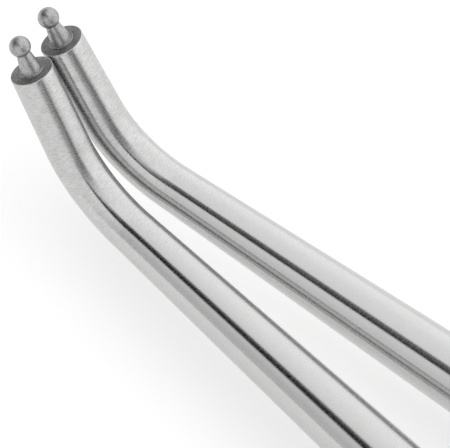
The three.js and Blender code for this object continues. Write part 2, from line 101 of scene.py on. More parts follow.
# Pins and set screws
BALL_RADIUS = 0.604
BALL_HEIGHT = 1.717
NECK_RADIUS = 0.39
CONE_RADIUS = 0.61
COLLAR_RADIUS = 0.725
COLLAR_HEIGHT = 0.05
COLLAR_EDGE = 0.022
FOOT_FILLET = 0.03
PIN_RADIUS = 0.48
PIN_DEPTH = 3
PIN_BORE_SPARE = 0.2
SET_SCREW_RADIUS = 0.6
SET_SCREW_PLACE = 1.9
SET_SCREW_BOTTOM = 0.51
SET_SCREW_TOP = 1.16
SET_SCREW_POINT = 0.06
SET_SCREW_RIM = 0.05
SET_SCREW_SLOT = (3, 0.2, 0.5)
SET_SCREW_HOLE_REACH = 2

# Handles
HANDLE_PLAN = [(3.9, -5), (4.6, -10), (5.7, -17), (8.6, -27), (13.2, -41), (16.2, -57),
               (16.3, -73), (14, -91)]
TANG_HALF_WIDTHS = [2.6, 2.4, 2.1, 2.1, 2.1, 2.1, 2.0, 1.8]
TANG_HALF_HEIGHTS = [3.98, 3.8, 3.4, 2.7, 2.7, 2.7, 2.7, 2.5]
TANG_END = 0.965
TANG_SQUARENESS = 6
TANG_SEGMENTS = 64
TANG_CLEARANCE = 0.12
GRIP_START = 0.235
GRIP_HALF_WIDTH = 4.3
GRIP_SWELL = 0.7
GRIP_SWELL_PACE = 1.15
GRIP_FLANGE = 1.1
GRIP_FLANGE_LENGTH = 0.045
GRIP_END_LENGTH = 0.05
GRIP_END_ROUNDING = 0.6
GRIP_FRONT_LENGTH = 0.02
GRIP_FRONT_ROUNDING = 0.12
GRIP_SQUARENESS = 4
GRIP_SEGMENTS = 72
GRIP_STEPS = 150
PAD_STEPS = 420
PAD_CLEARANCE = 0.06
PAD_DEPTH = 1.3
PAD_PROUD = 0.25
PAD_HALF_HEIGHT = 2.5
PAD_FRONT = -37
PAD_BACK = -83
PAD_INNER_X = 15
PAD_REACH = 12
GROOVE_PITCH = 2.6
GROOVE_COUNT = 13
GROOVE_DEPTH = 0.45

# Stop screw
STOP_Y = -17
STOP_RADIUS = 1.25
STOP_OUTER_END = -9.3
STOP_INNER_END = 2.55
STOP_DOME = 0.5
STOP_SLOT = (1.6, 0.45, 4)
STOP_SEAT_RADIUS = 2.9
STOP_SEAT_X = 3.9
STOP_OUTER_SEAT_X = 7.2
STOP_OUTER_SEAT_REACH = 4
LOCK_NUT_RADIUS = 2.6
LOCK_NUT_HEIGHT = 1.6
LOCK_NUT_SIDES = 6
LOCK_NUT_BEVEL = 0.12
LOCK_NUT_HOLE_REACH = 10
BUTTON_RADIUS = 1.6
BUTTON_SHANK_RADIUS = 1
BUTTON_DEPTH = 2.2
BUTTON_FACE = 2.6

# Camera: direction it looks from, its turn about that line, and the point it looks at
CAMERA_AZIMUTH = math.radians(-63.34)
CAMERA_ELEVATION = math.radians(61.31)
CAMERA_ROLL = math.radians(14.27)
CAMERA_AIM = Vector((1.979, 33.832, 4.0))
CAMERA_DISTANCE = 584.6
CAMERA_LENS = 847.3
CAMERA_SENSOR = 36
CAMERA_CLIP_METRES = 100

# Grain of the round bars: strong on the noses, fading along the shanks
NOSE_GRAIN = 1.9
SHANK_GRAIN = 0.5
GRAIN_END = 16

# Table: its size and centre, how much light it returns, and how much it gives itself
FLOOR_SIZE = (4000, 4000, 10)
FLOOR_CENTRE = Vector((0, 0, -5.01))
FLOOR_TINT = 0.65
FLOOR_GLOW = 0.5

# Light tent: its brightness above, to the right and to the left, and between which angles that changes
TENT_TOP = 1.52
TENT_RIGHT = 1.75
TENT_LEFT = 1.3
RIGHT_ANGLES = (math.radians(20), math.radians(95))
LEFT_ANGLES = (math.radians(-75), math.radians(-40))

# The tent's slightly dimmer skirt: up to which height, how bright, and where it ends to the right
SKIRT_HEIGHTS = (0.0, 0.16)
SKIRT_LEVEL = 0.88
SKIRT_SIDES = (-0.5, 0.3)

# The dark gap over the tent: its place, its bend, its half width at the back and front, its soft edge
GAP_ANGLE = math.radians(-28)
GAP_SWING = math.radians(33)
GAP_HALF_WIDTHS = (math.radians(3.9), math.radians(11.8))
GAP_ALONG = (-0.5, 0.1)
GAP_EDGE = (0.9, 1.1)

# Dark patches at the tent's back and front: direction, then narrow, wide, low, high and depth
BACK_AZIMUTH = (-0.32, -0.95)
BACK_PATCH = (0.12, 0.42, 0.66, 0.84, 0.95)
FRONT_AZIMUTH = (-0.22, 0.975)
FRONT_PATCH = (0.75, 0.97, 0.4, 0.8, 0.85)

# Shared by several pieces: clearances, how far a cutter stands out, and how finely things are turned
CLOSE_CLEARANCE = 0.02
RUNNING_CLEARANCE = 0.05
LOOSE_CLEARANCE = 0.1
SCREW_CHAMFER = 0.2
OVERCUT = 1
ON_AXIS = 1e-6
FINE_SEGMENTS = 96
SMALL_SEGMENTS = 48
HOLE_SEGMENTS = 40
ROUND = 2
SHARP_ANGLE = math.radians(32)


# ---- meshes -------------------------------------------------------------------------------------

def lerp(a, b, t):
    return a + (b - a) * t


def smooth_step(t):
    t = min(1, max(0, t))
    return t * t * (3 - 2 * t)


class Skin:
    """Rings of points, closed round and capped at both ends, with a UV map along and around."""

    def __init__(self):
        self.rings = []
        self.lengths = []
        self.marks = []

    def add(self, ring, length, mark=0):
        """Adds a ring; mark is the material slot of the faces between it and the ring before."""
        self.rings.append(ring)
        self.lengths.append(length)
        self.marks.append(mark)

    def mesh(self, name):
        count = len(self.rings[0])
        points = [p * MM for ring in self.rings for p in ring]
        faces = []
        marks = []
        for i in range(len(self.rings) - 1):
            for j in range(count):
                k = (j + 1) % count
                faces.append((i * count + j, i * count + k, (i + 1) * count + k, (i + 1) * count + j))
                marks.append(self.marks[i + 1])
        for i, mark in ((0, self.marks[1]), (len(self.rings) - 1, self.marks[-1])):
            ring = [i * count + j for j in range(count)]
            faces.append(ring[::-1] if i == 0 else ring)
            marks.append(mark)
        mesh = bpy.data.meshes.new(name)
        mesh.from_pydata(points, [], faces)
        self._paint(mesh, count)
        mesh.polygons.foreach_set("material_index", marks)
        make_outward(mesh)
        return mesh

    def _paint(self, mesh, count):
        round_length = [sum((ring[j] - ring[j - 1]).length for j in range(count)) for ring in self.rings]
        layer = mesh.uv_layers.new(name="turn")
        for polygon in mesh.polygons:
            columns = [mesh.loops[i].vertex_index % count for i in polygon.loop_indices]
            wraps = max(columns) - min(columns) > count / 2
            for i, column in zip(polygon.loop_indices, columns):
                row = mesh.loops[i].vertex_index // count
                place = column + (count if wraps and column < count / 2 else 0)
                layer.data[i].uv = (self.lengths[row], place / count * round_length[row])


def make_outward(mesh):
    build = bmesh.new()
    build.from_mesh(mesh)
    bmesh.ops.recalc_face_normals(build, faces=build.faces)
    build.to_mesh(mesh)
    build.free()


def ellipse_ring(centre, across, up, half_width, half_height, squareness=ROUND, segments=BAR_SEGMENTS):
    """A ring that is an ellipse at squareness 2 and nears a rectangle above it."""
    def bulge(value):
        return math.copysign(abs(value) ** (2 / squareness), value)
    angles = [2 * math.pi * (i + 0.5) / segments for i in range(segments)]
    return [centre + across * half_width * bulge(math.cos(a)) + up * half_height * bulge(math.sin(a))
            for a in angles]


def built_mesh(name, build):
    """Turns a finished bmesh into a mesh with its faces outward."""
    bmesh.ops.recalc_face_normals(build, faces=build.faces)
    mesh = bpy.data.meshes.new(name)
    build.to_mesh(mesh)
    build.free()
    return mesh


def turned_mesh(name, profile, origin, axis, segments=64):
    """A turned solid: (radius, distance) pairs along an axis. A profile may close on itself."""
    turn = Z.rotation_difference(axis)
    build = bmesh.new()
    closed = profile[0] == profile[-1]
    outline = profile[:-1] if closed else profile
    columns = []
    for radius, distance in outline:
        if radius < ON_AXIS:
            ring = [Vector((0, 0, distance))]
        else:
            angles = [2 * math.pi * i / segments for i in range(segments)]
            ring = [Vector((radius * math.cos(a), radius * math.sin(a), distance)) for a in angles]
        columns.append([build.verts.new((origin + turn @ point) * MM) for point in ring])
    following = columns[1:] + columns[:1] if closed else columns[1:]
    for first, second in zip(columns, following):
        for i in range(segments):
            j = (i + 1) % segments
            if len(first) == 1:
                build.faces.new((first[0], second[i], second[j]))
            elif len(second) == 1:
                build.faces.new((first[i], first[j], second[0]))
            else:
                build.faces.new((first[i], first[j], second[j], second[i]))
    return built_mesh(name, build)


def rod_mesh(name, origin, axis, radius, start, end, segments=64):
    return turned_mesh(name, [(0, start), (radius, start), (radius, end), (0, end)], origin, axis, segments)


def box_mesh(name, size, centre, turn=None):
    build = bmesh.new()
    bmesh.ops.create_cube(build, size=1)
    turn = turn or Quaternion()
    for vert in build.verts:
        local = Vector((vert.co.x * size[0], vert.co.y * size[1], vert.co.z * size[2]))
        vert.co = (centre + turn @ local) * MM
    mesh = bpy.data.meshes.new(name)
    build.to_mesh(mesh)
    build.free()
    return mesh


def prism_mesh(name, outline, low, high):
    """An outline in the XY plane, drawn up from one height to another."""
    build = bmesh.new()
    bottom = [build.verts.new(Vector((x, y, low)) * MM) for x, y in outline]
    face = build.faces.new(bottom)
    top = bmesh.ops.extrude_face_region(build, geom=[face])["geom"]
    for vert in (item for item in top if isinstance(item, bmesh.types.BMVert)):
        vert.co.z = high * MM
    return built_mesh(name, build)


def new_object(mesh):
    piece = bpy.data.objects.new(mesh.name, mesh)
    bpy.context.scene.collection.objects.link(piece)
    return piece


def combine(piece, operation, *meshes):
    """Joins to or cuts from a piece, one mesh after another."""
    for mesh in meshes:
        other = new_object(mesh)
        modifier = piece.modifiers.new("combine", "BOOLEAN")
        modifier.operation = operation
        modifier.solver = "EXACT"
        modifier.object = other
        apply_modifiers(piece)
        bpy.data.objects.remove(other)
    return piece


def apply_modifiers(piece):
    bpy.context.view_layer.update()
    graph = bpy.context.evaluated_depsgraph_get()
    result = bpy.data.meshes.new_from_object(piece.evaluated_get(graph), depsgraph=graph)
    piece.modifiers.clear()
    piece.data = result


def bevel(piece, width, segments=2, angle=math.radians(40)):
    modifier = piece.modifiers.new("bevel", "BEVEL")
    modifier.width = width * MM
    modifier.segments = segments
    modifier.limit_method = "ANGLE"
    modifier.angle_limit = angle
    modifier.harden_normals = False
    apply_modifiers(piece)
    return piece


def shade(piece):
    """Smooth shading with the edges sharper than the limit kept crisp."""
    build = bmesh.new()
    build.from_mesh(piece.data)
    for face in build.faces:
        face.smooth = True
    for edge in build.edges:
        edge.smooth = edge.calc_face_angle(0) < SHARP_ANGLE
    build.to_mesh(piece.data)
    build.free()


def finish_piece(piece, body, slot, materials, *nodes):
    for material in materials:
        if material.name not in piece.data.materials:
            piece.data.materials.append(material)
    shade(piece)
    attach(piece, body)
    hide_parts(*nodes)


# ---- materials ----------------------------------------------------------------------------------

class Nodes:
    """A short way to add and link shader nodes."""

    def __init__(self, name):
        self.material = bpy.data.materials.new(name)
        self.material.use_nodes = True
        self.tree = self.material.node_tree
        self.shader = self.tree.nodes["Principled BSDF"]

    def add(self, kind, **settings):
        node = self.tree.nodes.new("ShaderNode" + kind)
        for key, value in settings.items():
            setattr(node, key, value)
        return node

    def link(self, source, target):
        self.tree.links.new(source, target)

    def value(self, name, value):
        self.shader.inputs[name].default_value = value

    def coordinates(self, uv_map=None):
        if uv_map:
            return self.add("UVMap", uv_map=uv_map).outputs["UV"]
        return self.add("TexCoord").outputs["Object"]

    def scaled(self, coordinates, scale):
        mapping = self.add("Mapping")
        mapping.inputs["Scale"].default_value = scale
        self.link(coordinates, mapping.inputs["Vector"])
        return mapping.outputs["Vector"]

    def noise(self, vector, scale=1.0, detail=2.0, rough=0.5):
        noise = self.add("TexNoise")
        noise.inputs["Scale"].default_value = scale
        noise.inputs["Detail"].default_value = detail
        noise.inputs["Roughness"].default_value = rough
        self.link(vector, noise.inputs["Vector"])
        return noise.outputs["Fac"]

    def spread(self, factor, low, high, start=0.3, end=0.7):
        """Turns a factor between start and end into a value between low and high."""
        span = self.add("MapRange")
        for name, value in (("From Min", start), ("From Max", end), ("To Min", low), ("To Max", high)):
            span.inputs[name].default_value = value
        self.link(factor, span.inputs["Value"])
        return span.outputs["Result"]

    def colours(self, factor, stops):
        ramp = self.add("ValToRGB")
        elements = ramp.color_ramp.elements
        for element, (place, colour) in zip(elements, (stops[0], stops[-1])):
            element.position = place
            element.color = (*colour, 1)
        for place, colour in stops[1:-1]:
            elements.new(place).color = (*colour, 1)
        self.link(factor, ramp.inputs["Fac"])
        return ramp.outputs["Color"]

    def greys(self, factor, start, end, *tones):
        """Greys spread evenly over a factor that runs from start to end."""
        places = [i / (len(tones) - 1) for i in range(len(tones))]
        stops = [(place, grey(tone)) for place, tone in zip(places, tones)]
        return self.colours(self.spread(factor, 0, 1, start, end), stops)

    def total(self, first, second, weight=1.0):
        scaled = self.add("Math", operation="MULTIPLY_ADD")
        scaled.inputs[1].default_value = weight
        self.link(second, scaled.inputs[0])
        self.link(first, scaled.inputs[2])
        return scaled.outputs["Value"]

    def along(self, uv):
        """The distance along a bar, in millimetres."""
        split = self.add("SeparateXYZ")
        self.link(uv, split.inputs["Vector"])
        return split.outputs["X"]

    def product(self, first, second):
        times = self.add("Math", operation="MULTIPLY")
        self.link(first, times.inputs[0])
        self.link(second, times.inputs[1])
        return times.outputs["Value"]

    def bump(self, height, depth_mm):
        bump = self.add("Bump")
        bump.inputs["Distance"].default_value = depth_mm * MM
        bump.inputs["Strength"].default_value = 1.0
        self.link(height, bump.inputs["Height"])
        self.link(bump.outputs["Normal"], self.shader.inputs["Normal"])


def grey(value):
    return (value, value, value * 0.995)


def brushed_round_steel():
    """Satin steel with fine short marks that run round the bar, deeper in a few worn places."""
    n = Nodes("brushed_round_steel")
    uv = n.coordinates("turn")
    fine = n.noise(n.scaled(uv, (15.0, 2.6, 1)), 1.0, 3.0, 0.6)
    hair = n.noise(n.scaled(uv, (34.0, 1.5, 1)), 1.0, 2.0, 0.7)
    speck = n.noise(n.scaled(uv, (22.0, 15.0, 1)), 1.0, 2.0, 0.7)
    patch = n.noise(n.scaled(uv, (1.6, 1.1, 1)), 1.0, 3.0)
    marks = n.total(fine, hair, 0.7)
    tone = n.total(n.total(marks, patch, 0.25), speck, 0.8)
    strength = n.spread(n.along(uv), NOSE_GRAIN, SHANK_GRAIN, NOSE_LENGTH, GRAIN_END)
    contrast = n.product(n.spread(tone, -1, 1, 1.0, 1.75), strength)
    n.link(n.greys(contrast, -1, 1, 0.45, 0.575, 0.66), n.shader.inputs["Base Color"])
    n.link(n.spread(marks, 0.22, 0.29, 0.6, 1.1), n.shader.inputs["Roughness"])
    n.value("Metallic", 1.0)
    n.value("Anisotropic", 1.0)
    tangent = n.add("Tangent", direction_type="UV_MAP", uv_map="turn")
    n.link(tangent.outputs["Tangent"], n.shader.inputs["Tangent"])
    worn = n.spread(n.noise(n.scaled(uv, (0.3, 0.35, 1)), 1.0, 2.0), 0.35, 1.6, 0.57, 0.72)
    relief = n.product(n.total(marks, speck, 0.3), worn)
    n.bump(n.product(relief, strength), 0.0007)
    return n.material


def ground_face_steel():
    """The flat ends of the noses: ground, dark and rough."""
    n = Nodes("ground_face_steel")
    coordinates = n.coordinates()
    grain = n.noise(coordinates, 11000, 3.0, 0.75)
    blotch = n.noise(coordinates, 2500, 2.0)
    n.link(n.greys(n.total(grain, blotch, 0.3), 0.45, 0.85, 0.1, 0.38), n.shader.inputs["Base Color"])
    n.value("Metallic", 1.0)
    n.value("Roughness", 0.5)
    n.bump(grain, 0.006)
    return n.material


def pin_steel():
    """Fine turned steel, speckled with small dark pits and slightly worn."""
    n = Nodes("pin_steel")
    coordinates = n.coordinates()
    speck = n.noise(coordinates, 15000, 2.0, 0.75)
    blotch = n.noise(coordinates, 3200, 3.0)
    n.link(n.greys(n.total(speck, blotch, 0.35), 0.45, 0.85, 0.2, 0.4, 0.52), n.shader.inputs["Base Color"])
    n.link(n.spread(speck, 0.34, 0.46), n.shader.inputs["Roughness"])
    n.value("Metallic", 1.0)
    n.bump(n.total(speck, blotch, 0.6), 0.0025)
    return n.material


def brushed_flat_steel():
    """The joint and tangs: satin steel brushed along the tool."""
    n = Nodes("brushed_flat_steel")
    coordinates = n.coordinates()
    along = n.noise(n.scaled(coordinates, (9000, 500, 9000)), 1.0, 3.0, 0.65)
    patch = n.noise(coordinates, 180, 2.0)
    n.link(n.greys(n.total(along, patch, 0.4), 0.45, 0.95, 0.5, 0.66), n.shader.inputs["Base Color"])
    n.link(n.spread(along, 0.3, 0.42), n.shader.inputs["Roughness"])
    n.value("Metallic", 1.0)
    n.value("Anisotropic", 0.5)
    n.bump(along, 0.002)
    return n.material


def turned_steel(name, low, high, roughness, centre, across):
    """Steel with turning marks round an axis; across are the two coordinates square to it."""
    n = Nodes(name)
    moved = n.add("Mapping")
    moved.inputs["Location"].default_value = [-value * MM for value in centre]
    n.link(n.coordinates(), moved.inputs["Vector"])
    flat = n.add("VectorMath", operation="MULTIPLY")
    flat.inputs[1].default_value = across
    n.link(moved.outputs["Vector"], flat.inputs[0])
    radius = n.add("VectorMath", operation="LENGTH")
    n.link(flat.outputs["Vector"], radius.inputs[0])
    rings = n.noise(radius.outputs["Value"], 9000, 2.0)
    stain = n.noise(n.coordinates(), 600, 2.0)
    n.link(n.greys(n.total(rings, stain, 0.4), 0.4, 0.95, low, high), n.shader.inputs["Base Color"])
    n.link(n.spread(rings, roughness - 0.05, roughness + 0.07), n.shader.inputs["Roughness"])
    n.value("Metallic", 1.0)
    n.bump(rings, 0.003)
    return n.material


def bronze():
    n = Nodes("rolled_bronze")
    coordinates = n.coordinates()
    stain = n.noise(coordinates, 900, 3.0)
    n.link(n.colours(stain, [(0.3, (0.38, 0.25, 0.11)), (0.75, (0.62, 0.43, 0.2))]),
           n.shader.inputs["Base Color"])
    n.value("Metallic", 1.0)
    n.value("Roughness", 0.38)
    n.bump(n.noise(coordinates, 6000, 2.0), 0.003)
    return n.material


def moulded_shell():
    """Dark moulded plastic with a fine spark-eroded grain."""
    n = Nodes("moulded_shell")
    coordinates = n.coordinates()
    grain = n.noise(coordinates, 4200, 3.0, 0.6)
    cloud = n.noise(coordinates, 120, 2.0)
    n.link(n.colours(cloud, [(0.3, (0.022, 0.024, 0.027)), (0.75, (0.034, 0.036, 0.040))]),
           n.shader.inputs["Base Color"])
    n.link(n.spread(grain, 0.42, 0.58), n.shader.inputs["Roughness"])
    n.bump(grain, 0.02)
    return n.material


def soft_pad():
    """Matt elastomer with a dusty bloom."""
    n = Nodes("soft_pad")
    coordinates = n.coordinates()
    grain = n.noise(coordinates, 6500, 3.0, 0.65)
    bloom = n.noise(coordinates, 260, 3.0)
    n.link(n.colours(bloom, [(0.3, (0.009, 0.0095, 0.010)), (0.8, (0.020, 0.021, 0.022))]),
           n.shader.inputs["Base Color"])
    n.link(n.spread(grain, 0.72, 0.9), n.shader.inputs["Roughness"])
    n.value("Sheen Weight", 0.15)
    n.value("Sheen Roughness", 0.5)
    n.bump(grain, 0.015)
    return n.material


# ---- noses and shanks ---------------------------------------------------------------------------

def bar_line(side):
    """Centre line of one bar from its end face backwards: (point, direction, length) stations."""
    nose = Vector((side * math.sin(NOSE_SPLAY), -math.cos(NOSE_SPLAY) * math.cos(NOSE_ANGLE),
                   -math.cos(NOSE_SPLAY) * math.sin(NOSE_ANGLE)))
    shank = Vector((side * math.sin(SHANK_SPLAY), -math.cos(SHANK_SPLAY), 0))
    turn = nose.angle(shank)
    bend_axis = nose.cross(shank).normalized()
    stations = [(Vector((0, 0, 0)), nose, 0.0)]

    def advance(direction, step, facing=None):
        point, _, length = stations[-1]
        stations.append((point + direction * step, facing or direction, length + step))

    nose_steps = 18
    bend_steps = 48
    shank_steps = 30
    for _ in range(nose_steps):
        advance(nose, NOSE_LENGTH / nose_steps)
    for i in range(bend_steps):
        middle = Quaternion(bend_axis, turn * (i + 0.5) / bend_steps) @ nose
        end = Quaternion(bend_axis, turn * (i + 1) / bend_steps) @ nose
        advance(middle, BEND_RADIUS * turn / bend_steps, end)
    bend_end = stations[-1][2]
    face = Vector((side * NOSE_SPACING / 2, TIP_REACH, MID_HEIGHT - stations[-1][0].z))
    shank_length = (stations[-1][0].y + face.y - ROOT_START) / math.cos(SHANK_SPLAY)
    for _ in range(shank_steps):
        advance(shank, shank_length / shank_steps)
    stations = [(point + face, direction, length) for point, direction, length in stations]
    return stations, face, -nose, shank, bend_end


def bar_radius(length, bend_end):
    in_nose = min(length, bend_end)
    return NOSE_RADIUS + NOSE_TAPER * in_nose + SHANK_TAPER * (length - in_nose)


def cross_axes(along):
    across = (X - along * X.dot(along)).normalized()
    return across, across.cross(along).normalized()


def bar_mesh(name, side):
    """One nose and shank with the bore for its pin, swelling at the root into the joint."""
    stations, face, outward, shank, bend_end = bar_line(side)
    skin = Skin()
    across, up = cross_axes(stations[0][1])
    bore = PIN_RADIUS + CLOSE_CLEARANCE

    def face_ring(radius, depth, mark):
        skin.add(ellipse_ring(face - outward * depth, across, up, radius, radius), depth, mark)

    face_ring(bore, PIN_DEPTH + PIN_BORE_SPARE, 1)
    face_ring(bore, 0, 1)
    face_ring(NOSE_RADIUS - FACE_EDGE, 0, 1)
    face_ring(NOSE_RADIUS - EDGE_MIDDLE * FACE_EDGE, EDGE_MIDDLE * FACE_EDGE, 0)
    face_ring(NOSE_RADIUS, FACE_EDGE, 0)
    for point, along, length in stations[1:]:
        across, up = cross_axes(along)
        radius = bar_radius(length, bend_end)
        skin.add(ellipse_ring(point, across, up, radius, radius), length)
    last, _, length = stations[-1]
    shank_radius = bar_radius(length, bend_end)
    across, up = cross_axes(shank)
    root_steps = 24
    for i in range(1, root_steps + 1):
        t = i / root_steps
        ease = smooth_step(t)
        step = t * (ROOT_START - ROOT_END)
        half_width = lerp(shank_radius, ROOT_HALF_WIDTH, ease)
        half_height = lerp(shank_radius, ROOT_HALF_HEIGHT, ease)
        skin.add(ellipse_ring(last + shank * step, across, up, half_width, half_height,
                              lerp(ROUND, ROOT_SQUARENESS, ease)), length + step)
    return skin.mesh(name)


# ---- handles ------------------------------------------------------------------------------------

def catmull_points(points, per_span=24):
    """A centripetal Catmull-Rom curve through points, as three.js draws it."""
    first = 2 * points[0] - points[1]
    last = 2 * points[-1] - points[-2]
    padded = [first, *points, last]
    curve = []
    for i in range(1, len(padded) - 2):
        p0, p1, p2, p3 = padded[i - 1:i + 3]
        d0, d1, d2 = ((b - a).length ** 0.5 for a, b in ((p0, p1), (p1, p2), (p2, p3)))
        t1 = ((p1 - p0) / d0 - (p2 - p0) / (d0 + d1) + (p2 - p1) / d1) * d1
        t2 = ((p2 - p1) / d1 - (p3 - p1) / (d1 + d2) + (p3 - p2) / d2) * d1
        for step in range(per_span):
            t = step / per_span
            curve.append(p1 + t1 * t + (-3 * p1 + 3 * p2 - 2 * t1 - t2) * t ** 2
                         + (2 * p1 - 2 * p2 + t1 + t2) * t ** 3)
    return [*curve, points[-1]]


HANDLE_CURVE = catmull_points([Vector((x, y, MID_HEIGHT)) for x, y in HANDLE_PLAN])
HANDLE_SPANS = [(b - a).length for a, b in zip(HANDLE_CURVE, HANDLE_CURVE[1:])]
HANDLE_LENGTH = sum(HANDLE_SPANS)


def handle_place(side, t):
    """A place along the handle, with the direction across it, for t from 0 to 1."""
    remaining = t * HANDLE_LENGTH
    index = 0
    while index < len(HANDLE_SPANS) - 1 and remaining > HANDLE_SPANS[index]:
        remaining -= HANDLE_SPANS[index]
        index += 1
    here = HANDLE_CURVE[index].lerp(HANDLE_CURVE[index + 1], min(1, remaining / HANDLE_SPANS[index]))
    before = HANDLE_CURVE[max(0, index - 1)]
    after = HANDLE_CURVE[min(len(HANDLE_CURVE) - 1, index + 2)]
    along = (after - before).normalized()
    point = Vector((side * here.x, here.y, here.z))
    return point, Vector((-along.y, side * along.x, 0)).normalized()


def along_list(values, t):
    place = t * (len(values) - 1)
    i = min(int(place), len(values) - 2)
    return lerp(values[i], values[i + 1], smooth_step(place - i))


def tang_mesh(name, side, allowance=0.0):
    skin = Skin()
    steps = 60
    for i in range(steps + 1):
        t = TANG_END * i / steps
        point, across = handle_place(side, t)
        half_width = along_list(TANG_HALF_WIDTHS, t) + allowance
        half_height = along_list(TANG_HALF_HEIGHTS, t) + allowance
        skin.add(ellipse_ring(point, across, Z, half_width, half_height, TANG_SQUARENESS, TANG_SEGMENTS),
                 t * HANDLE_LENGTH)
    return skin.mesh(name)


def grip_half_width(t):
    swell = GRIP_SWELL * math.sin(math.pi * min(1, GRIP_SWELL_PACE * t)) ** 2
    flange = GRIP_FLANGE * math.exp(-((t / GRIP_FLANGE_LENGTH) ** 2))
    return GRIP_HALF_WIDTH + swell + flange


def pad_groove(y):
    """Depth of the finger grooves that cross a pad, at a place along the tool."""
    from_middle = (y - (PAD_FRONT + PAD_BACK) / 2) / GROOVE_PITCH
    if abs(from_middle) > GROOVE_COUNT / 2:
        return 0
    return GROOVE_DEPTH * max(0, math.cos(2 * math.pi * from_middle)) ** 3


def grip_mesh(name, side, allowance=0.0, grooved=False, steps=GRIP_STEPS):
    """The moulded shape of a grip, grown by an allowance; the rings lie closer towards both ends."""
    skin = Skin()
    for i in range(steps + 1):
        t = (1 - math.cos(math.pi * i / steps)) / 2
        point, across = handle_place(side, lerp(GRIP_START, 1, t))
        growth = allowance - (pad_groove(point.y) if grooved else 0)
        end = max(0, (t - (1 - GRIP_END_LENGTH)) / GRIP_END_LENGTH)
        front = max(0, (GRIP_FRONT_LENGTH - t) / GRIP_FRONT_LENGTH)
        rounding = math.sqrt(1 - GRIP_END_ROUNDING * end ** 2) - GRIP_FRONT_ROUNDING * front ** 2
        half_width = grip_half_width(t) * rounding + growth
        half_height = MID_HEIGHT * rounding + growth
        skin.add(ellipse_ring(point, across, Z, half_width, half_height, GRIP_SQUARENESS, GRIP_SEGMENTS),
                 t * HANDLE_LENGTH)
    return skin.mesh(name)


def pad_band_mesh(name, side, allowance):
    """The band on the outside of a handle that the soft pad fills, across the whole grip."""
    half_height = PAD_HALF_HEIGHT + allowance
    outline = []
    arc_steps = 20
    for centre, start in ((PAD_FRONT - PAD_HALF_HEIGHT, 0), (PAD_BACK + PAD_HALF_HEIGHT, math.pi)):
        for i in range(arc_steps + 1):
            angle = start - math.pi / 2 + math.pi * i / arc_steps
            outline.append((centre + half_height * math.cos(angle), half_height * math.sin(angle)))
    near = side * PAD_INNER_X
    far = side * (PAD_INNER_X + PAD_REACH)
    build = bmesh.new()
    rims = [[build.verts.new(Vector((x, y, MID_HEIGHT + z)) * MM) for y, z in outline]
            for x in (near, far)]
    for rim in rims:
        build.faces.new(rim)
    for i in range(len(outline)):
        j = (i + 1) % len(outline)
        build.faces.new((rims[0][i], rims[0][j], rims[1][j], rims[1][i]))
    return built_mesh(name, build)


def pad_piece(name, side, proud, allowance=0.0, grooved=False):
    piece = new_object(grip_mesh(name, side, proud, grooved, PAD_STEPS))
    combine(piece, "INTERSECT", pad_band_mesh("pad_band", side, allowance))
    return combine(piece, "DIFFERENCE", grip_mesh("pad_core", side, -PAD_DEPTH - allowance))


def make_grip(side, word, body, shell, soft):
    grip = new_object(grip_mesh(f"grip_{word}_shell", side))
    recess = pad_piece("pad_recess", side, PAD_PROUD + OVERCUT, PAD_CLEARANCE)
    combine(grip, "DIFFERENCE", tang_mesh("tang_space", side, TANG_CLEARANCE), recess.data)
    bpy.data.objects.remove(recess)
    finish_piece(grip, body, "grip_shell", [shell], f"grip_{word}")
    pad = pad_piece(f"grip_{word}_pad", side, PAD_PROUD, grooved=True)
    finish_piece(pad, body, "grip_pad", [soft], f"grip_pad_{word}")


# ---- joint and levers ---------------------------------------------------------------------------

def plate_profile(low, high):
    """The joint's disc in profile, with rounded rims."""
    rim = DISC_RADIUS - EDGE
    middle = EDGE_MIDDLE * EDGE
    return [(0, low), (rim, low), (DISC_RADIUS - middle, low + middle), (DISC_RADIUS, low + EDGE),
            (DISC_RADIUS, high - EDGE), (DISC_RADIUS - middle, high - middle), (rim, high), (0, high)]


def shoulder_mesh(name, side, front):
    """The full-height shoulder that carries a nose or a handle."""
    steps = 40
    low_angle = math.pi / 2 - SHOULDER_END
    high_angle = math.pi / 2 - SHOULDER_START
    angles = [lerp(low_angle, high_angle, i / steps) for i in range(steps + 1)]
    inner_radius = DISC_RADIUS - SHOULDER_OVERLAP
    outer = [(SHOULDER_RADIUS * math.cos(a), SHOULDER_RADIUS * math.sin(a)) for a in angles]
    inner = [(inner_radius * math.cos(a), inner_radius * math.sin(a)) for a in reversed(angles)]
    outline = [(side * x, front * y) for x, y in outer + inner]
    mesh = prism_mesh(name, outline, 0, BODY_HEIGHT)
    piece = bevel(new_object(mesh), EDGE, segments=3, angle=SHOULDER_BEVEL_ANGLE)
    result = piece.data
    bpy.data.objects.remove(piece)
    return result


def set_screw_axis(outward):
    up = cross_axes(outward)[1]
    return -up if up.z > 0 else up


def stop_cut(handle):
    """The seat and bore for the stop's button, or the two seats and bore for its screw, as one cutter.

    Separate cutters left a stray face across the bore.
    """
    profile = [(0, -OVERCUT), (STOP_SEAT_RADIUS, -OVERCUT), (STOP_SEAT_RADIUS, STOP_SEAT_X)]
    if handle > 0:
        bore = BUTTON_SHANK_RADIUS + CLOSE_CLEARANCE
        floor = STOP_SEAT_X + BUTTON_DEPTH
        profile += [(bore, STOP_SEAT_X), (bore, floor), (0, floor)]
    else:
        bore = STOP_RADIUS + RUNNING_CLEARANCE
        outside = STOP_OUTER_SEAT_X + STOP_OUTER_SEAT_REACH
        profile += [(bore, STOP_SEAT_X), (bore, STOP_OUTER_SEAT_X), (STOP_SEAT_RADIUS, STOP_OUTER_SEAT_X),
                    (STOP_SEAT_RADIUS, outside), (0, outside)]
    return turned_mesh("stop_cut", profile, Vector((0, STOP_Y, MID_HEIGHT)), Vector((handle, 0, 0)))


